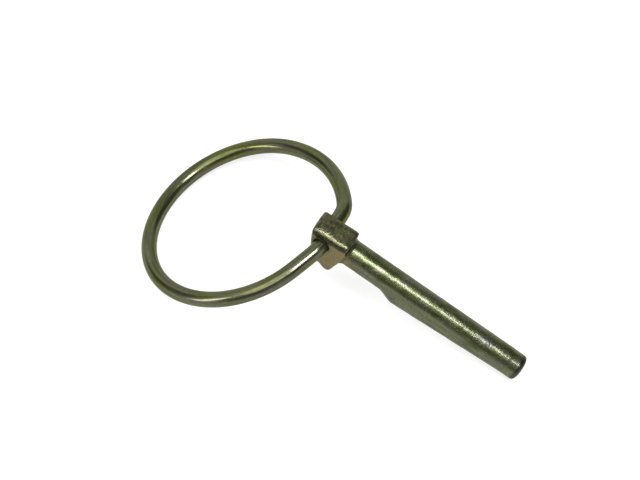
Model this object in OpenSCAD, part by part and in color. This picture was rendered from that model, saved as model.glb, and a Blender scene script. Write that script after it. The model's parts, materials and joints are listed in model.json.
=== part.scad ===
// Linch pin with a snap ring. The forged pin and the bent ring stand on a flat
// surface like a tent: the pin leans on its tip and the ring on its far rim.
// Each piece is drawn in the pin's own frame, with x along the shank towards
// the tip, y across the head and z towards the head's domed side, and x = 0 at
// the shoulder. stand() then sets that frame down on the surface z = 0.

/* [Shank] */
// Diameter of the round shank
shank_d = 6.35; // [5.5:0.05:7.5]
// Length of the shank from the head's shoulder to the tip
shank_len = 47.2; // [44:0.1:60]
// Radius of the rounded edge at the tip
tip_round = 0.9; // [0.4:0.1:1.4]
// Radius of the shallow dome on the tip
tip_dome_r = 12; // [8:1:30]
// Length of the round nose, from the tip back to the main shank
nose_len = 3.3; // [2.2:0.1:3.4]
// How much the nose's radius is less than the shank's
nose_ease = 0.04; // [0.02:0.01:0.2]
// Length of the bevel from the shank down to the nose
nose_bevel = 0.5; // [0.3:0.1:0.5]
// Radius of the fillet between the shank and the shoulder
neck_fillet = 0.8; // [0.3:0.1:1]

/* [Keel] */
// How far the keel stands below the round shank at its knee
keel_rise = 2.65; // [1:0.05:3.5]
// Distance from the shoulder to the foot of the keel's ramp
keel_foot = 11.15; // [8:0.05:14]
// Length of the keel's ramp, from its foot to its knee
keel_ramp = 3.8; // [3:0.1:6]
// Length of round shank and nose left between the keel's end and the tip
keel_tip_gap = 4.2; // [4.2:0.1:8]

/* [Head] */
// Length of the head along the shank
head_len = 9.5; // [9:0.1:12]
// How far each flat face stands proud of the shank's side
face_step = 0.05; // [0.03:0.01:0.4]
// Radius of the dome across the top of the head
boss_r = 6.5; // [5:0.1:12]
// Height of the dome above the shank's axis, at the shoulder
boss_top = 5.3; // [4.8:0.1:6.5]
// Angle by which the dome falls towards the head's outer end
boss_fall = 4.4; // [0:0.2:6]
// Angle by which the outer end slopes in below the dome
end_slope = 13.6; // [6:0.2:16]
// Radius of the corner where that slope begins
end_round = 1; // [0.5:0.1:2]

/* [Lug] */
// Depth of the lug's toe below the shank's axis
toe_depth = 9.3; // [8.9:0.1:11]
// Width of the lug's toe along the shank
toe_w = 1.5; // [1.2:0.1:2]
// Depth of the lug's heel below the shank's axis
heel_depth = 8; // [7.2:0.1:8.4]
// Radius of the corner between the outer end and the heel
heel_round = 2.5; // [1:0.1:3]
// Width of the heel along the shank, from the outer end to the step before the toe
heel_w = 2.87; // [2.6:0.01:3.3]
// Angle by which the lug's seat leans back from the shoulder
seat_lean = 6.5; // [2:0.5:8]
// Radius of the small corners of the toe
toe_round = 0.45; // [0.2:0.05:0.5]

/* [Ring] */
// Inner diameter of the ring
ring_inner_d = 42.7; // [38:0.1:48]
// Diameter of the ring's wire
wire_d = 3.66; // [2.8:0.02:4.2]
// Radial clearance of the wire in the cross hole
hole_gap = 0.07; // [0.03:0.01:0.1]
// Distance from the head's outer end in to the cross hole
hole_in = 3.75; // [3.2:0.05:4.2]
// Height of the cross hole above the shank's axis
hole_up = 0.75; // [0:0.05:1.2]
// How far the ring's middle lies beyond its own radius from the cross hole
ring_reach = 0.88; // [0.6:0.02:1.5]
// Sideways offset of the ring's middle, towards its near end
ring_side = 2.05; // [1.6:0.05:2.6]
// Angle of the ring below the line of the pin, as it stands
fold = 40.4; // [30:0.2:55]
// Gap left between the wire's two ends inside the hole
ends_gap = 0.8; // [0.4:0.1:2]

/* [Ring bends] */
// Angle before the head at which the near end leaves the circle
near_leave = 22; // [18:1:30]
// Radius of the near end's bend into the hole
near_bend_r = 3.5; // [2.5:0.1:5]
// Angle before the head at which the far end passes from the circle to a wider arc
far_leave = 88; // [80:1:90]
// Angle that is left for the far end's last bend
far_turn = 35; // [28:1:38]
// Radius of the far end's bend into the hole
far_bend_r = 5; // [3:0.1:6]

/* [Hidden] */
$fn = 96;
// Steps on each rounded corner of an outline
corner_steps = 8;
// The keel's faces lie this far inside the shank's, so that none coincide
inset = 0.02;
// Length by which solids run into each other, or past what they cut
lap = 2;
// Half the hairline between two stretches of wire, and how far a ball that closes a joint stands proud
seam = 0.01;

shank_r = shank_d / 2;
nose_r = shank_r - nose_ease;
wire_r = wire_d / 2;
half_t = shank_r + face_step;
keel_r = shank_r - inset;
keel_knee = keel_foot + keel_ramp;
keel_end = shank_len - keel_tip_gap;

// Height of the dome's side edge above the axis, at the head's outer end
end_corner = boss_top - head_len * tan(boss_fall) - boss_r + sqrt(pow(boss_r, 2) - pow(half_t, 2));
// The outer end reaches the heel's depth here
heel_x = (end_corner + heel_depth) * tan(end_slope) - head_len;
heel_step = -heel_x - heel_w;
// The leaning seat reaches the toe's depth here
seat_x = (shank_r - toe_depth) * tan(seat_lean);

// Distance from the shoulder back to the cross hole
hole_back = head_len - hole_in;

// The ring's own frame has the cross hole's axis as u, and its middle at (mid_u, mid_v)
ring_r = (ring_inner_d + wire_d) / 2;
mid_u = -ring_side;
mid_v = ring_r + ring_reach;
ring_mid = [mid_u, mid_v];
near_line = (mid_v - ring_r * cos(near_leave) - near_bend_r * (1 - cos(near_leave))) / sin(near_leave);
near_u = mid_u - (ring_r - near_bend_r) * sin(near_leave) + near_line * cos(near_leave);
far_drop = mid_v - ring_r * cos(far_leave) - far_bend_r * (1 - cos(far_turn));
far_r = far_drop / (cos(far_turn) - cos(far_leave));
far_mid = ring_mid + (ring_r - far_r) * [sin(far_leave), -cos(far_leave)];
far_u = far_mid.x + (far_r - far_bend_r) * sin(far_turn);

// The lean at which the ring's rim and the tip's rounded edge both touch z = 0
round_x = shank_len - tip_round;
round_r = nose_r - tip_round;
rim = mid_v + ring_r;
along = round_x + hole_back + rim * cos(fold);
across = hole_up + round_r - rim * sin(fold);
lean = asin((wire_r - tip_round) / norm([along, across])) - atan2(across, along);
lift = round_x * sin(lean) + round_r * cos(lean) + tip_round;
// The two ends of the standing object along x, measured from the shoulder
tip_x = round_x * cos(lean) + round_r * sin(lean) + tip_round;
rim_x = hole_up * sin(lean) - hole_back * cos(lean) - rim * cos(fold - lean) - wire_r;

// Unit vector from one point of an outline towards another
function towards(a, b) = (b - a) / norm(b - a);

// Points of the arc that rounds corner p, between the points a and b beside it
function corner(a, p, b, r) =
    r == 0 ? [p] :
    let (
        to_a = towards(p, a),
        to_b = towards(p, b),
        half = acos(to_a * to_b) / 2,
        mid = p + towards([0, 0], to_a + to_b) * r / sin(half),
        from = p + to_a * r / tan(half) - mid,
        to = p + to_b * r / tan(half) - mid,
        start = atan2(from.y, from.x),
        turn = atan2(from.x * to.y - from.y * to.x, from * to)
    )
    [for (i = [0:corner_steps]) mid + r * spoke(start + turn * i / corner_steps)];

// Unit vector at an angle
function spoke(angle) = [cos(angle), sin(angle)];

// Outline from a list of [x, y, corner radius]
function rounded(list) =
    let (n = len(list), xy = [for (c = list) [c.x, c.y]])
    [for (i = [0:n - 1]) each corner(xy[(i + n - 1) % n], xy[i], xy[(i + 1) % n], list[i].z)];

// A solid of the given outline in x and z, centred across y
module plate(outline, width) {
    rotate([90, 0, 0]) linear_extrude(width, center = true) polygon(outline);
}

// A round bar from one point in the x and z plane to another
module bar(from, to, r) {
    span = to - from;
    translate([from.x, 0, from.y]) rotate([0, 90 - atan2(span.y, span.x), 0])
        cylinder(r = r, h = norm(span));
}

// Round shank, and its nose with a rounded and slightly domed tip
module shank() {
    dome_mid = round_x - sqrt(pow(tip_dome_r - tip_round, 2) - pow(round_r, 2));
    meet = asin(round_r / (tip_dome_r - tip_round));
    nose_x = shank_len - nose_len;
    edge = [for (i = [0:corner_steps]) (90 - meet) * i / corner_steps];
    dome = [for (i = [1:corner_steps]) 90 - meet + meet * i / corner_steps];
    rotate([0, 90, 0]) rotate_extrude() polygon(concat(
        [[0, -lap], [shank_r, -lap], [shank_r, nose_x - nose_bevel], [nose_r, nose_x]],
        [for (a = edge) [round_r, round_x] + tip_round * spoke(a)],
        [for (a = dome) [0, dome_mid] + tip_dome_r * spoke(a)]));
}

// Concave fillet round the neck, cut off flush with the head's flat faces
module neck() {
    foot_r = shank_r + neck_fillet - inset;
    curve = [for (i = [0:corner_steps]) -90 - 90 * i / corner_steps];
    intersection() {
        rotate([0, 90, 0]) rotate_extrude() polygon(concat(
            [[0, neck_fillet], [0, -lap], [foot_r, -lap]],
            [for (a = curve) [foot_r, neck_fillet] + neck_fillet * spoke(a)]));
        cube([4 * lap, 2 * half_t, 4 * shank_d], center = true);
    }
}

// One-sided keel: a short ramp out to the knee, then a long taper back to the round shank
module keel() {
    foot = [keel_foot, 0];
    knee = [keel_knee, -keel_rise];
    end = [keel_end, 0];
    plate([foot, knee, end], 2 * (keel_r - inset));
    bar(foot, knee, keel_r);
    bar(knee, end, keel_r);
    translate([knee.x, 0, knee.y]) sphere(r = keel_r + seam);
}

// What is cut off the head above its dome
module dome_waste() {
    run = head_len + 2 * lap;
    slope = tan(boss_fall);
    difference() {
        translate([-head_len - lap, -shank_d, 0]) cube([run, 2 * shank_d, boss_top + 2 * lap]);
        bar([-run, boss_top - boss_r - run * slope], [run, boss_top - boss_r + run * slope], boss_r);
    }
}

// Flat-sided head with its domed top, its lug below and the cross hole
module head() {
    difference() {
        plate(rounded([
            [0, boss_top + lap, 0],
            [-head_len, boss_top + lap, 0],
            [-head_len, end_corner, end_round],
            [heel_x, -heel_depth, heel_round],
            [-heel_step, -heel_depth, toe_round],
            [seat_x - toe_w, -toe_depth, toe_round],
            [seat_x, -toe_depth, toe_round],
            [0, -shank_r, 0]
        ]), 2 * half_t);
        dome_waste();
        translate([-hole_back, 0, hole_up]) rotate([90, 0, 0])
            cylinder(r = wire_r + hole_gap, h = 2 * half_t + lap, center = true);
    }
}

// Stretch of the ring's wire bent round a point, a hair short at both ends
module wire_arc(mid, r, from, to) {
    trim = seam / r * 180 / PI;
    translate(mid) rotate([0, 0, from + trim]) rotate_extrude(angle = to - from - 2 * trim)
        translate([r, 0]) circle(r = wire_r, $fn = 48);
}

// Straight stretch of the ring's wire, a hair short at its start
module wire_line(from, to) {
    way = towards(from, to);
    translate(from + seam * way) rotate([0, 0, atan2(way.y, way.x)]) rotate([0, 90, 0])
        cylinder(r = wire_r, h = norm(to - from) - 2 * seam, $fn = 48);
}

// Closes the hairline seam between two stretches of wire, with its poles inside them
module bead(at, way) {
    translate(at) rotate([0, 0, way]) rotate([0, 90, 0]) sphere(r = wire_r + seam);
}

// The ring in its own flat frame: a circle whose two ends turn into the cross hole, the far
// one over a wider arc
module flat_ring() {
    near_start = ring_mid + ring_r * spoke(-90 - near_leave);
    near_stop = near_start + near_line * spoke(-near_leave);
    near_bend = [near_u, near_bend_r];
    far_bend = [far_u, far_bend_r];
    wire_arc(ring_mid, ring_r, far_leave - 90, 270 - near_leave);
    wire_line(near_start, near_stop);
    wire_arc(near_bend, near_bend_r, -90 - near_leave, -90);
    wire_line([near_u, 0], [-ends_gap / 2, 0]);
    wire_arc(far_mid, far_r, far_turn - 90, far_leave - 90);
    wire_arc(far_bend, far_bend_r, -90, far_turn - 90);
    wire_line([far_u, 0], [ends_gap / 2, 0]);
    bead(near_start, -near_leave);
    bead(near_stop, -near_leave);
    bead([near_u, 0], 0);
    bead(ring_mid + ring_r * spoke(far_leave - 90), far_leave);
    bead(far_mid + far_r * spoke(far_turn - 90), far_turn);
    bead([far_u, 0], 0);
}

// Sets the pin's frame down on z = 0, with the object's middle over the origin
module stand() {
    translate([-(tip_x + rim_x) / 2, ring_side, lift]) rotate([0, lean, 0]) children();
}

// Forged pin: shank, keel and head in one piece
module pin() {
    color("darkolivegreen") stand() {
        shank();
        neck();
        keel();
        head();
    }
}

// Snap ring of round spring wire, with both ends in the cross hole
module ring() {
    color("olivedrab") stand() translate([-hole_back, 0, hole_up]) rotate([0, -fold, 0])
        rotate([0, 0, 90]) flat_ring();
}

pin();
ring();
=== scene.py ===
"""Looks of the linch pin: a forged pin and its snap ring, in yellow-chromated steel.

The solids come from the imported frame. The pin is shown by a blended and roughened copy of
its own solid. The ring is shown by one smooth swept wire along the line of its solid.
"""

import json
import math

import bpy
from mathutils import Matrix, Vector, noise


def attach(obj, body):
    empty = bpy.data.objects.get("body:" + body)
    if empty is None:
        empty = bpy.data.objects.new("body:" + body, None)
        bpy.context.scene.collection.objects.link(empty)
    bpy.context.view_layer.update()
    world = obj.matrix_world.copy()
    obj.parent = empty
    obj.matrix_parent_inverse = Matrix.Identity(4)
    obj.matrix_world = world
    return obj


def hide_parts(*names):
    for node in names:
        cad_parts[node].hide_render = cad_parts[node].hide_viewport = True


MM = 0.001

# Camera: where it stands (m), the way it looks (degrees) and its lens (mm)
CAMERA_PLACE = Vector((0.08139, -0.14546, 0.31176))
CAMERA_AZIMUTH, CAMERA_ELEVATION, CAMERA_ROLL = 30.283, 60.018, 0.19
CAMERA_LENS = 84.71

# The ring's own sizes, as in its solid (mm and degrees)
FOLD = 40.4
RING_INNER_D, WIRE_D = 42.7, 3.66
RING_REACH, RING_SIDE, ENDS_GAP = 0.88, 2.05, 0.8
NEAR_LEAVE, NEAR_BEND_R = 22, 3.5
FAR_LEAVE, FAR_TURN, FAR_BEND_R = 88, 35, 5
WIRE_SIDES = 48
WIRE_STEP = 0.3
PATH_SMOOTHING = 12

# The pin's blended copy: voxel (mm), and rounds of smoothing over all of it and on the head
VOXEL = 0.17
SMOOTH_FACTOR, EDGE_SMOOTHING, HEAD_SMOOTHING = 0.5, 7, 130

# Places in the pin's own frame (mm): where the head begins, the cross hole's middle, and the
# reach round it that gets no unevenness and no extra smoothing
HEAD_FROM, HOLE_BACK, HOLE_UP = -0.1, 5.75, 0.75
HOLE_CLEAR, HOLE_BLEND = 2.3, 0.6

# The head's extra smoothing grows over these stretches: in from the shoulder, and on the
# shoulder itself out from the shank
EASE_IN, EASE_BESIDE, EASE_OUTSIDE = (0.1, 0.6), (-0.4, -0.1), (3.4, 3.9)

# The dome: height of its side edges at the shoulder, their fall along the head, about half
# the head's width, about how high the dome rises over its edges, and the two powers of the
# width between which its shoulders are filled out
SIDE_EDGE, SIDE_FALL = 4.44, 0.077
HALF_THICK, DOME_RISE = 3.25, 0.87
ARC_POWER, FULL_POWER = 2, 5
FILL_UP, FILL_END = (-1.5, 0), (-0.05, 0.05)

# Unevenness of the skin: how often it changes (per mm) and how far it stands out (mm), and
# what the head adds to that
HEAD_BLEND = 0.8
BROAD_SCALE, BROAD, BROAD_HEAD = 0.55, 0.03, 0.05
FINE_SCALE, FINE_SCALE_HEAD, FINE, FINE_HEAD = 2.3, 1, 0.012, 0.022

# Where the plating is tan or brown, and where its colour is darkened: painted shade in the neck's
# crease and round the hole's rim, painted dark reflection on the tip's edge and along the dome's
# side edges, and dark blots on the head's top. Stretches over which each share grows (mm), and
# the scale and size of each border's wander
TAN_WANDER = (0.6, 1.2)
TAN_SIDE, TAN_UP, TAN_IN, TAN_OUT = (2.5, 3.0), (-8.5, -5.5), (-6.8, -4.6), (1.0, 3.5)
TAN_LEAST = 0.4
NECK_AT, NECK_EDGE, NECK_OUTSIDE, NECK_WANDER = 0.3, (0.15, 0.55), (3.9, 4.4), (1.3, 0.15)
RIM_EDGE, RIM_WANDER = (2.2, 2.7), (1.3, 0.2)
TIP_EDGE, TIP_WANDER = (45.75, 46.05), (1.3, 0.1)
BAND_SIDE, BAND_UP, BAND_IN, BAND_WANDER = (2.6, 2.85), (-0.8, -0.4), (0, 0.4), (3, 0.25)
BLOT_SIDE, BLOT_EDGE, BLOT_SCALE, BLOT_SHIFT = (1.9, 2.4), (0, 0.4), 1.1, Vector((7, 3, 1))
# How far the painted shade at the neck and hole rim, the painted dark reflection at the tip, and the head's blots
# darken the colour
NECK_DARK, RIM_DARK, TIP_DARK, BLOT_DARK = 0.5, 0.6, 0.75, 0.6
FORGED_BLEND = 0.5
BROWN_SCALE, BROWN_EDGE = 0.9, (-0.6, 0.15)

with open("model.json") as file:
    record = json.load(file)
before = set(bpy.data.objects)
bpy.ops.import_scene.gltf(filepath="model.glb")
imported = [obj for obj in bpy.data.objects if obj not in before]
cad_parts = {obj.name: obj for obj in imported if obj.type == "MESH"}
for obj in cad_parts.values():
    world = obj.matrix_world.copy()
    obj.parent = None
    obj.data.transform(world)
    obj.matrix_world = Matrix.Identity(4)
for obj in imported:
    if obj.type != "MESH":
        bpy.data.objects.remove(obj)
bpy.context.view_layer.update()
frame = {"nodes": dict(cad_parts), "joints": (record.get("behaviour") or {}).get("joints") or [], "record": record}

# The pin's own axes and shoulder, in the row frame
hinge = Vector(frame["joints"][0]["pos_m"])
mounts = {m["name"]: m for m in frame["record"]["mounts"]}
ALONG = Vector(mounts["shank"]["axis"]).normalized()
ACROSS = Vector((0, 1, 0))
UP = ALONG.cross(ACROSS)
shoulder = hinge + MM * (HOLE_BACK * ALONG - HOLE_UP * UP)
LEAN = math.atan2(-ALONG.z, ALONG.x)


def pin_point(co):
    """A point of the row frame in the pin's own frame, in mm: along, across and up."""
    d = (co - shoulder) / MM
    return Vector((d.dot(ALONG), d.dot(ACROSS), d.dot(UP)))


def add_mesh(name, verts, faces):
    """A smooth-shaded mesh object from its points and faces."""
    mesh = bpy.data.meshes.new(name)
    mesh.from_pydata([tuple(v) for v in verts], [], faces)
    mesh.update()
    mesh.shade_smooth()
    obj = bpy.data.objects.new(name, mesh)
    bpy.context.scene.collection.objects.link(obj)
    return obj


def spoke(degrees):
    """Unit vector at an angle in the ring's plane."""
    a = math.radians(degrees)
    return Vector((math.cos(a), math.sin(a)))


def arc(mid, r, start, stop):
    """Points along an arc, from one angle to another."""
    n = max(2, round(abs(math.radians(stop - start)) * r / WIRE_STEP))
    return [mid + r * spoke(start + (stop - start) * i / n) for i in range(n + 1)]


def line(a, b):
    """Points along a straight stretch."""
    n = max(1, round((b - a).length / WIRE_STEP))
    return [a.lerp(b, i / n) for i in range(n + 1)]


def ring_path():
    """The wire's middle line in the ring's plane (mm): along the cross hole, and inwards."""
    r = (RING_INNER_D + WIRE_D) / 2
    mid = Vector((-RING_SIDE, r + RING_REACH))
    near, turn = math.radians(NEAR_LEAVE), math.radians(FAR_TURN)
    near_line = (mid.y - r * math.cos(near) - NEAR_BEND_R * (1 - math.cos(near))) / math.sin(near)
    near_u = mid.x - (r - NEAR_BEND_R) * math.sin(near) + near_line * math.cos(near)
    leave = spoke(FAR_LEAVE - 90)
    far_r = (mid.y + r * leave.y - FAR_BEND_R * (1 - math.cos(turn))) / (math.cos(turn) + leave.y)
    far_mid = mid + (r - far_r) * leave
    far_u = far_mid.x + (far_r - FAR_BEND_R) * math.sin(turn)
    near_start = mid + r * spoke(-90 - NEAR_LEAVE)
    near_stop = near_start + near_line * spoke(-NEAR_LEAVE)
    points = line(Vector((-ENDS_GAP / 2, 0)), Vector((near_u, 0)))
    points += arc(Vector((near_u, NEAR_BEND_R)), NEAR_BEND_R, -90, -90 - NEAR_LEAVE)
    points += line(near_stop, near_start)
    points += arc(mid, r, 270 - NEAR_LEAVE, FAR_LEAVE - 90)
    points += arc(far_mid, far_r, FAR_LEAVE - 90, FAR_TURN - 90)
    points += arc(Vector((far_u, FAR_BEND_R)), FAR_BEND_R, FAR_TURN - 90, -90)
    points += line(Vector((far_u, 0)), Vector((ENDS_GAP / 2, 0)))
    return eased(spaced(points))


def spaced(points):
    """The same line without points that lie less than half a step apart."""
    kept = [points[0]]
    for p in points[1:]:
        if (p - kept[-1]).length > WIRE_STEP / 2:
            kept.append(p)
    return kept


def eased(points):
    """Softens the change from one stretch to the next, with both ends held."""
    for _ in range(PATH_SMOOTHING):
        inner = [(a + 2 * b + c) / 4 for a, b, c in zip(points, points[1:], points[2:])]
        points = [points[0], *inner, points[-1]]
    return points


def make_ring():
    """The snap ring: one round wire swept along its line, with closed and eased ends."""
    tilt = math.radians(FOLD) - LEAN
    to_mid = Vector((-math.cos(tilt), 0, -math.sin(tilt)))
    normal = ACROSS.cross(to_mid)
    path = ring_path()
    radius = WIRE_D / 2
    verts, faces, skin = [], [], []
    gone = 0.0
    for i, p in enumerate(path):
        gone += (p - path[max(i - 1, 0)]).length
        ahead, behind = path[min(i + 1, len(path) - 1)], path[max(i - 1, 0)]
        way = (ahead - behind).normalized()
        side = Vector((way.y, -way.x))
        out = side.x * ACROSS + side.y * to_mid
        middle = hinge + MM * (p.x * ACROSS + p.y * to_mid)
        for k in range(WIRE_SIDES):
            a = 2 * math.pi * k / WIRE_SIDES
            verts.append(middle + MM * radius * (math.cos(a) * out + math.sin(a) * normal))
            skin.append(Vector((gone, radius * math.cos(a), radius * math.sin(a))))
    for i in range(len(path) - 1):
        for k in range(WIRE_SIDES):
            k2 = (k + 1) % WIRE_SIDES
            a, b = i * WIRE_SIDES, (i + 1) * WIRE_SIDES
            faces.append((a + k, a + k2, b + k2, b + k))
    faces.append(tuple(range(WIRE_SIDES - 1, -1, -1)))
    faces.append(tuple(range(len(verts) - WIRE_SIDES, len(verts))))
    ring = add_mesh("snap_ring", verts, faces)
    keep_skin(ring.data, skin)
    ring.data.materials.append(plated_steel("ring_plating", RING_LOOK))
    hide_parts("ring")
    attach(ring, "ring")


def ramp(value, low, high):
    """0 below low, 1 above high, and even between them."""
    return min(1.0, max(0.0, (value - low) / (high - low)))


def wander(p, scale, size):
    """A smooth uneven value of about the given size."""
    return size * noise.noise(p * scale)


def hole_distance(p):
    """How far a point lies from the cross hole's axis (mm)."""
    return math.hypot(p.x + HOLE_BACK, p.z - HOLE_UP)


def shank_distance(p):
    """How far a point lies from the shank's axis (mm)."""
    return math.hypot(p.y, p.z)


def clear_of_hole(p):
    """0 round the cross hole, whose wall and rim are left even, and 1 elsewhere."""
    return ramp(hole_distance(p), HOLE_CLEAR, HOLE_CLEAR + HOLE_BLEND)


def roughness_mm(p):
    """How far the forged surface stands out (mm) at a point of the pin's own frame."""
    head = ramp(-p.x, -HEAD_FROM, -HEAD_FROM + HEAD_BLEND)
    broad = wander(p, BROAD_SCALE, BROAD + BROAD_HEAD * head)
    fine = wander(p, FINE_SCALE + FINE_SCALE_HEAD * head, FINE + FINE_HEAD * head)
    return (broad + fine) * clear_of_hole(p)


def evaluated(obj):
    """The object's mesh as its modifiers leave it."""
    bpy.context.view_layer.update()
    graph = bpy.context.evaluated_depsgraph_get()
    return bpy.data.meshes.new_from_object(obj.evaluated_get(graph))


def ease_head(pin):
    """Rounds the head's edges further than the shank's, away from the cross hole."""
    group = pin.vertex_groups.new(name="eased")
    for v in pin.data.vertices:
        p = pin_point(v.co)
        beside = ramp(-p.x, *EASE_BESIDE) * ramp(shank_distance(p), *EASE_OUTSIDE)
        weight = max(ramp(-p.x, *EASE_IN), beside) * clear_of_hole(p)
        if weight > 0:
            group.add([v.index], weight, "REPLACE")
    smooth = pin.modifiers.new("head_ease", "SMOOTH")
    smooth.factor, smooth.iterations = SMOOTH_FACTOR, HEAD_SMOOTHING
    smooth.vertex_group = group.name
    mesh = evaluated(pin)
    pin.modifiers.clear()
    pin.data = mesh
    pin.vertex_groups.clear()


def tan_share(p):
    """How tan the plating is: most on the near face, between the cross hole and the neck."""
    along = p.x + wander(p, *TAN_WANDER)
    inner = TAN_LEAST + (1 - TAN_LEAST) * ramp(along, *TAN_IN)
    upper = ramp(p.z + wander(p, *TAN_WANDER), *TAN_UP)
    return ramp(-p.y, *TAN_SIDE) * inner * (1 - ramp(along, *TAN_OUT)) * upper


def dome_edge(p):
    """Height at which the dome meets the head's flat faces."""
    return SIDE_EDGE + p.x * SIDE_FALL


def dome_fill(p):
    """How far the dome's shoulders stand above a plain arc (mm), which leaves its top flatter."""
    across = min(1.0, abs(p.y) / HALF_THICK)
    over = ramp(p.z - dome_edge(p), *FILL_UP) * ramp(-p.x, *FILL_END)
    return DOME_RISE * (across ** ARC_POWER - across ** FULL_POWER) * over


def neck_shade_share(p):
    """1 where the shank meets the shoulder: the crease where shade is painted."""
    off = abs(p.x - NECK_AT) + wander(p, *NECK_WANDER)
    return (1 - ramp(off, *NECK_EDGE)) * (1 - ramp(shank_distance(p), *NECK_OUTSIDE))


def dark_edge_reflection_share(p):
    """1 on a ragged band along the dome's side edges, where a dark reflection is painted."""
    ragged = wander(p, *BAND_WANDER)
    side = ramp(abs(p.y) + ragged, *BAND_SIDE)
    return side * ramp(p.z - dome_edge(p) + ragged, *BAND_UP) * ramp(-p.x, *BAND_IN)


def blot_share(p):
    """1 in the blots on top of the head."""
    blot = ramp(noise.noise(p * BLOT_SCALE + BLOT_SHIFT), *BLOT_EDGE)
    return blot * (1 - ramp(abs(p.y), *BLOT_SIDE)) * forged_share(p)


def shade_and_blot_share(p):
    """How dark the skin is painted: shade in the neck's crease and round the hole's rim, a dark
    reflection on the tip's edge and along the dome's side edges, and dark blots on the head's top.
    """
    # Painted shadow round the hole's rim, in the gap about the wire
    rim = 1 - ramp(hole_distance(p) + wander(p, *RIM_WANDER), *RIM_EDGE)
    # Painted dark reflection on the tip's rounded edge
    tip = ramp(p.x + wander(p, *TIP_WANDER), *TIP_EDGE)
    return max(neck_shade_share(p) * NECK_DARK, rim * RIM_DARK, tip * TIP_DARK,
               dark_edge_reflection_share(p), blot_share(p) * BLOT_DARK)


def forged_share(p):
    """1 on the head, whose skin is as forged, and 0 on the shank."""
    return ramp(-p.x, -HEAD_FROM, -HEAD_FROM + FORGED_BLEND)


def head_share(p):
    """How brown the skin is: patchily on the head, and not at all on the shank."""
    return forged_share(p) * ramp(noise.noise(p * BROWN_SCALE), *BROWN_EDGE)


def keep_skin(mesh, places):
    """Keeps where each point lies on the rolled steel (mm: along it and across it)."""
    layer = mesh.attributes.new("skin", "FLOAT_VECTOR", "POINT")
    layer.data.foreach_set("vector", [c for place in places for c in place])


def paint(mesh, name, share, places):
    """Keeps a share for every point of the mesh, for its material to read."""
    layer = mesh.attributes.new(name, "FLOAT", "POINT")
    layer.data.foreach_set("value", [share(p) for p in places])


def make_pin():
    """The forged pin: its solid with blended edges and a lightly uneven skin."""
    source = frame["nodes"]["pin"]
    pin = bpy.data.objects.new("forged_pin", source.data.copy())
    bpy.context.scene.collection.objects.link(pin)
    remesh = pin.modifiers.new("blend", "REMESH")
    remesh.mode = "VOXEL"
    remesh.voxel_size = VOXEL * MM
    smooth = pin.modifiers.new("ease", "SMOOTH")
    smooth.factor, smooth.iterations = SMOOTH_FACTOR, EDGE_SMOOTHING
    mesh = evaluated(pin)
    pin.modifiers.clear()
    pin.data = mesh
    ease_head(pin)
    mesh = pin.data
    normals = [v.normal.copy() for v in mesh.vertices]
    for v, n in zip(mesh.vertices, normals):
        p = pin_point(v.co)
        v.co += MM * (roughness_mm(p) * n + dome_fill(p) * UP)
    mesh.update()
    mesh.shade_smooth()
    places = [pin_point(v.co) for v in mesh.vertices]
    keep_skin(mesh, places)
    # Shares for the plating: brown patches on the head, the tan near face, a darkening that is painted shade and
    # painted dark reflection plus the head's dark blots, and the forged head
    shares = {"tan": tan_share, "dark": shade_and_blot_share, "head": head_share, "forged": forged_share}
    for name, share in shares.items():
        paint(mesh, name, share, places)
    mesh.materials.clear()
    painted = (("head", HEAD_BROWN), ("tan", TAN), ("dark", SHADE_AND_BLOT_COLOUR))
    mesh.materials.append(plated_steel("pin_plating", PIN_LOOK, painted))
    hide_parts("pin")
    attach(pin, "pin")


# Plating of each piece: colours by the height of a broad noise, how often that noise and the
# others change (per mm) and how much less along the steel, what the streaks and specks do to
# the colour, the roughness, the grain's depth and the tint at grazing angles
PIN_LOOK = {
    "patches": [(0.38, (0.054, 0.067, 0.02)), (0.47, (0.088, 0.098, 0.039)),
                (0.56, (0.102, 0.112, 0.057)), (0.66, (0.088, 0.092, 0.066))],
    "patch_scale": 0.5, "patch_stretch": 0.45, "streak_scale": 2.2, "streaks": (0.7, 1.15),
    "grain_scale": 6.5, "grain_stretch": 0.6, "rough": (0.17, 0.34), "bump": 0.5,
    "specks": (0.66, 1.24), "edge": (0.34, 0.36, 0.19),
}
RING_LOOK = {
    "patches": [(0.38, (0.074, 0.086, 0.014)), (0.46, (0.076, 0.086, 0.03)),
                (0.56, (0.084, 0.091, 0.044)), (0.66, (0.09, 0.088, 0.06))],
    "patch_scale": 0.5, "patch_stretch": 0.16, "streak_scale": 2.0, "streaks": (0.6, 1.2),
    "grain_scale": 5.0, "grain_stretch": 0.2, "rough": (0.13, 0.24), "bump": 0.12,
    "specks": (0.8, 1.16), "edge": (0.38, 0.42, 0.16),
}
FORGED_BUMP = 0.48
STREAK_STRETCH = 0.06
TAN = (0.158, 0.118, 0.036)
# Colour of the painted shade and painted dark reflections, and of the head's dark blots
SHADE_AND_BLOT_COLOUR = (0.014, 0.015, 0.008)
HEAD_BROWN = (0.08, 0.077, 0.03)
METALLIC, COAT, COAT_ROUGHNESS = 0.85, 0.35, 0.2
PATCH_DETAIL, GRAIN_DETAIL = 5, 3
COLOUR_SPAN, GLOSS_SPAN = (0.35, 0.65), (0.3, 0.7)
BUMP_DEPTH = 0.06 * MM


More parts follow.
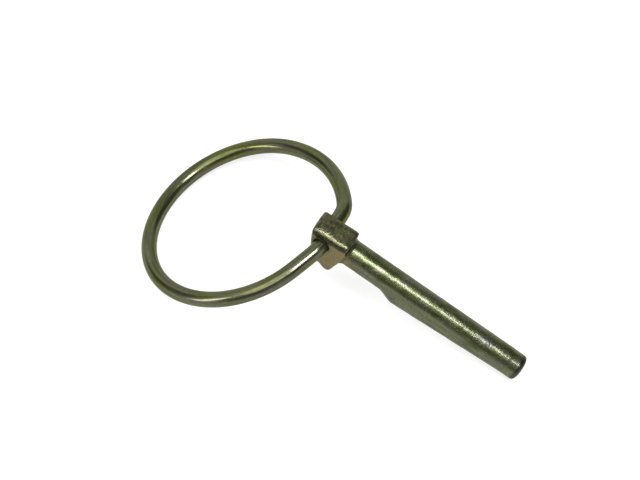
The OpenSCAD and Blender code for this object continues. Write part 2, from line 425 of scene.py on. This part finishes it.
def plated_steel(name, look, painted=()):
    """Zinc-plated and chromated steel: mottled and streaked colour, and a grain in its gloss."""
    mat = bpy.data.materials.new(name)
    mat.use_nodes = True
    nodes, links = mat.node_tree.nodes, mat.node_tree.links
    shader = nodes["Principled BSDF"]
    shader.inputs["Metallic"].default_value = METALLIC
    shader.inputs["Specular Tint"].default_value = (*look["edge"], 1)
    shader.inputs["Coat Weight"].default_value = COAT
    shader.inputs["Coat Roughness"].default_value = COAT_ROUGHNESS

    def kept(layer_name):
        layer = nodes.new("ShaderNodeAttribute")
        layer.attribute_name = layer_name
        return layer

    skin = kept("skin").outputs["Vector"]

    def grain(scale, stretch, detail):
        turn = nodes.new("ShaderNodeMapping")
        turn.inputs["Scale"].default_value = (stretch, 1, 1)
        links.new(skin, turn.inputs["Vector"])
        tex = nodes.new("ShaderNodeTexNoise")
        tex.inputs["Scale"].default_value = scale
        tex.inputs["Detail"].default_value = detail
        links.new(turn.outputs["Vector"], tex.inputs["Vector"])
        return tex.outputs["Fac"]

    def spread(value, low, high, to_low, to_high):
        span = nodes.new("ShaderNodeMapRange")
        span.inputs["From Min"].default_value, span.inputs["From Max"].default_value = low, high
        span.inputs["To Min"].default_value, span.inputs["To Max"].default_value = to_low, to_high
        links.new(value, span.inputs["Value"])
        return span.outputs["Result"]

    patches = nodes.new("ShaderNodeValToRGB")
    stops = patches.color_ramp.elements
    first = list(stops)
    for at, colour in look["patches"]:
        stop = first.pop(0) if first else stops.new(at)
        stop.position, stop.color = at, (*colour, 1)
    broad = grain(look["patch_scale"], look["patch_stretch"], PATCH_DETAIL)
    links.new(broad, patches.inputs["Fac"])
    colour = patches.outputs["Color"]
    for share, other in painted:
        mix = nodes.new("ShaderNodeMix")
        mix.data_type = "RGBA"
        links.new(kept(share).outputs["Fac"], mix.inputs["Factor"])
        links.new(colour, mix.inputs["A"])
        mix.inputs["B"].default_value = (*other, 1)
        colour = mix.outputs["Result"]
    drawn_out = grain(look["streak_scale"], STREAK_STRETCH, GRAIN_DETAIL)
    streak = spread(drawn_out, *COLOUR_SPAN, *look["streaks"])
    if painted:
        even = nodes.new("ShaderNodeMix")
        links.new(kept("forged").outputs["Fac"], even.inputs["Factor"])
        links.new(streak, even.inputs["A"])
        even.inputs["B"].default_value = 1
        streak = even.outputs["Result"]
    speck = grain(look["grain_scale"], look["grain_stretch"], GRAIN_DETAIL)
    for factor in (streak, spread(speck, *COLOUR_SPAN, *look["specks"])):
        scaled = nodes.new("ShaderNodeVectorMath")
        scaled.operation = "SCALE"
        links.new(colour, scaled.inputs[0])
        links.new(factor, scaled.inputs["Scale"])
        colour = scaled.outputs["Vector"]
    links.new(colour, shader.inputs["Base Color"])
    links.new(spread(speck, *GLOSS_SPAN, *look["rough"]), shader.inputs["Roughness"])
    bump = nodes.new("ShaderNodeBump")
    bump.inputs["Distance"].default_value = BUMP_DEPTH
    if painted:
        forged = kept("forged").outputs["Fac"]
        links.new(spread(forged, 0, 1, look["bump"], FORGED_BUMP), bump.inputs["Strength"])
    else:
        bump.inputs["Strength"].default_value = look["bump"]
    links.new(speck, bump.inputs["Height"])
    links.new(bump.outputs["Normal"], shader.inputs["Normal"])
    return mat


def add_light(name, place, long_way, size, power, colour):
    """A soft rectangular lamp that faces the object, with its long side along a direction."""
    lamp = bpy.data.lights.new(name, "AREA")
    lamp.shape = "RECTANGLE"
    lamp.size, lamp.size_y = size
    lamp.energy = power
    lamp.color = colour
    obj = bpy.data.objects.new(name, lamp)
    bpy.context.scene.collection.objects.link(obj)
    way = place.normalized()
    side = (long_way - long_way.dot(way) * way).normalized()
    turned = Matrix((side, way.cross(side), way)).transposed().to_4x4()
    obj.matrix_world = Matrix.Translation(place) @ turned


def camera_axes():
    """The camera's own directions: to its right, above it and back from what it looks at."""
    a, e = math.radians(CAMERA_AZIMUTH), math.radians(CAMERA_ELEVATION)
    back = Vector((math.sin(a) * math.cos(e), -math.cos(a) * math.cos(e), math.sin(e)))
    roll = Matrix.Rotation(math.radians(-CAMERA_ROLL), 3, "Z")
    turned = back.to_track_quat("Z", "Y").to_matrix() @ roll
    return turned.col[0].copy(), turned.col[1].copy(), back


def make_camera():
    """The camera at the photograph's viewing angle."""
    data = bpy.data.cameras.new("camera")
    data.lens = CAMERA_LENS
    cam = bpy.data.objects.new("camera", data)
    bpy.context.scene.collection.objects.link(cam)
    turned = Matrix(CAMERA_AXES).transposed().to_4x4()
    cam.matrix_world = Matrix.Translation(CAMERA_PLACE) @ turned
    bpy.context.scene.camera = cam


def seen_directly(nodes, links):
    """1 for rays from the camera or through a reflection, and 0 for light."""
    path = nodes.new("ShaderNodeLightPath")
    either = nodes.new("ShaderNodeMath")
    either.operation = "MAXIMUM"
    links.new(path.outputs["Is Camera Ray"], either.inputs[0])
    links.new(path.outputs["Is Glossy Ray"], either.inputs[1])
    any_ray = nodes.new("ShaderNodeMath")
    any_ray.operation = "MAXIMUM"
    links.new(either.outputs[0], any_ray.inputs[0])
    links.new(path.outputs["Is Transmission Ray"], any_ray.inputs[1])
    return any_ray.outputs[0]


FLOOR_SIZE = 3.0
FLOOR_GREY = 0.42
FLOOR_GLOW = 0.6
WORLD_GREY = 1.05

# Dark parts of the room: azimuth and angle from overhead, reach of the dark core and of its
# soft edge (all in degrees), and how bright
DARK_PARTS = (
    (-62, 60, 10, 34, 0.22),
    (-90, 64, 6, 18, 0.1),
    (40, 62, 14, 42, 0.1),
    (14, 44, 8, 24, 0.08),
    (80, 22, 2, 14, 0.2),
    (-170, 72, 8, 26, 0.12),
    (-16, 56, 6, 18, 0.12),
    (-115, 50, 2, 12, 0.15),
)

# Lamps: azimuth and angle from overhead, the long side's azimuth, how long and wide they look
# from the object (degrees), how bright they look, and their colour
LAMP_DISTANCE = 0.5
LAMPS = {
    "soft_box": (-100, 21, -30, 50, 36, 2.6, (1, 0.98, 0.8)),
    "strip": (-12, 19, -24, 22, 10, 38.0, (0.79, 0.79, 1)),
    "window": (-126, 61, -126, 32, 12, 10.0, (0.9, 0.88, 1)),
}


def toward(azimuth, from_overhead):
    """The direction at an azimuth and an angle from straight overhead (degrees)."""
    a, t = math.radians(azimuth), math.radians(from_overhead)
    return Vector((math.cos(a) * math.sin(t), math.sin(a) * math.sin(t), math.cos(t)))


def studio_world():
    """A plain grey room with darker parts."""
    world = bpy.data.worlds.new("studio")
    world.use_nodes = True
    nodes, links = world.node_tree.nodes, world.node_tree.links
    way = nodes.new("ShaderNodeTexCoord")
    plain = nodes.new("ShaderNodeValue")
    plain.outputs[0].default_value = WORLD_GREY
    grey = plain.outputs[0]
    for azimuth, from_overhead, core, edge, dark in DARK_PARTS:
        near = nodes.new("ShaderNodeVectorMath")
        near.operation = "DOT_PRODUCT"
        near.inputs[1].default_value = toward(azimuth, from_overhead)
        links.new(way.outputs["Generated"], near.inputs[0])
        shade = nodes.new("ShaderNodeMapRange")
        shade.interpolation_type = "SMOOTHSTEP"
        shade.inputs["From Min"].default_value = math.cos(math.radians(edge))
        shade.inputs["From Max"].default_value = math.cos(math.radians(core))
        shade.inputs["To Min"].default_value = WORLD_GREY
        shade.inputs["To Max"].default_value = dark
        links.new(near.outputs["Value"], shade.inputs["Value"])
        least = nodes.new("ShaderNodeMath")
        least.operation = "MINIMUM"
        links.new(grey, least.inputs[0])
        links.new(shade.outputs["Result"], least.inputs[1])
        grey = least.outputs[0]
    links.new(grey, nodes["Background"].inputs["Color"])
    return world


def make_stage():
    """Plain pale floor, a grey room and soft lamps."""
    h = FLOOR_SIZE / 2
    floor = add_mesh("floor", [(-h, -h, 0), (h, -h, 0), (h, h, 0), (-h, h, 0)], [(0, 1, 2, 3)])
    mat = bpy.data.materials.new("floor_paper")
    mat.use_nodes = True
    nodes, links = mat.node_tree.nodes, mat.node_tree.links
    nodes.clear()
    paper = nodes.new("ShaderNodeBsdfDiffuse")
    paper.inputs["Color"].default_value = (FLOOR_GREY, FLOOR_GREY, FLOOR_GREY, 1)
    glow = nodes.new("ShaderNodeEmission")
    strength = nodes.new("ShaderNodeMath")
    strength.operation = "MULTIPLY"
    strength.inputs[1].default_value = FLOOR_GLOW
    links.new(seen_directly(nodes, links), strength.inputs[0])
    links.new(strength.outputs[0], glow.inputs["Strength"])
    both = nodes.new("ShaderNodeAddShader")
    links.new(paper.outputs[0], both.inputs[0])
    links.new(glow.outputs[0], both.inputs[1])
    out = nodes.new("ShaderNodeOutputMaterial")
    links.new(both.outputs[0], out.inputs["Surface"])
    floor.data.materials.append(mat)
    bpy.context.scene.world = studio_world()
    for name, (azimuth, from_overhead, long_azimuth, long, wide, bright, colour) in LAMPS.items():
        place = LAMP_DISTANCE * toward(azimuth, from_overhead)
        size = [2 * LAMP_DISTANCE * math.tan(math.radians(a / 2)) for a in (long, wide)]
        power = bright * math.pi * math.prod(size)
        add_light(name, place, toward(long_azimuth, 90), size, power, colour)


CAMERA_AXES = camera_axes()
bpy.context.scene.view_settings.view_transform = "Standard"
make_camera()
make_stage()
make_ring()
make_pin()
